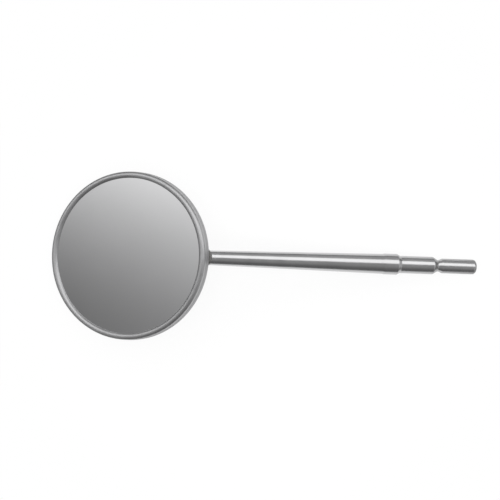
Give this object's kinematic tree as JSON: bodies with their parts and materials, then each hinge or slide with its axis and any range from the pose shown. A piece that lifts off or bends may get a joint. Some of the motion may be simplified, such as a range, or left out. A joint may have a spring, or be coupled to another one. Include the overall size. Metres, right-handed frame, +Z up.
{
  "type": "mouth mirror head",
  "caption": "Round dental mouth mirror head on a tapered steel stem, set at an angle, with a grooved plug that snaps into a handle.",
  "frame": {"origin": "on the table that the mirror lies on, under the middle of its bounding box", "axes": "+X from the head's far edge towards the tip of the plug, +Z up off the table, +Y across the mirror; XZ is the plane of symmetry"},
  "size_m": [0.0612, 0.024, 0.0128],
  "materials": {
    "pan_steel": "polished drawn stainless steel",
    "ring_steel": "polished stainless steel ring",
    "stem_steel": "turned and polished stainless steel",
    "silver_solder": "smooth silver solder, wiped while hot",
    "rhodium_film": "rhodium film on ground glass",
    "glass": "ground and polished glass",
    "sealant": "cured translucent grey silicone",
    "pad_rubber": "soft pale silicone sheet"
  },
  "bodies": {
    "root": {"mirror_pan": "pan_steel", "rim_ring": "ring_steel", "mirror_glass": "glass", "reflecting_film": "rhodium_film", "cushion_pad": "pad_rubber", "edge_seal": "sealant", "stem": "stem_steel", "solder_fillet": "silver_solder"}
  },
  "joints": []
}
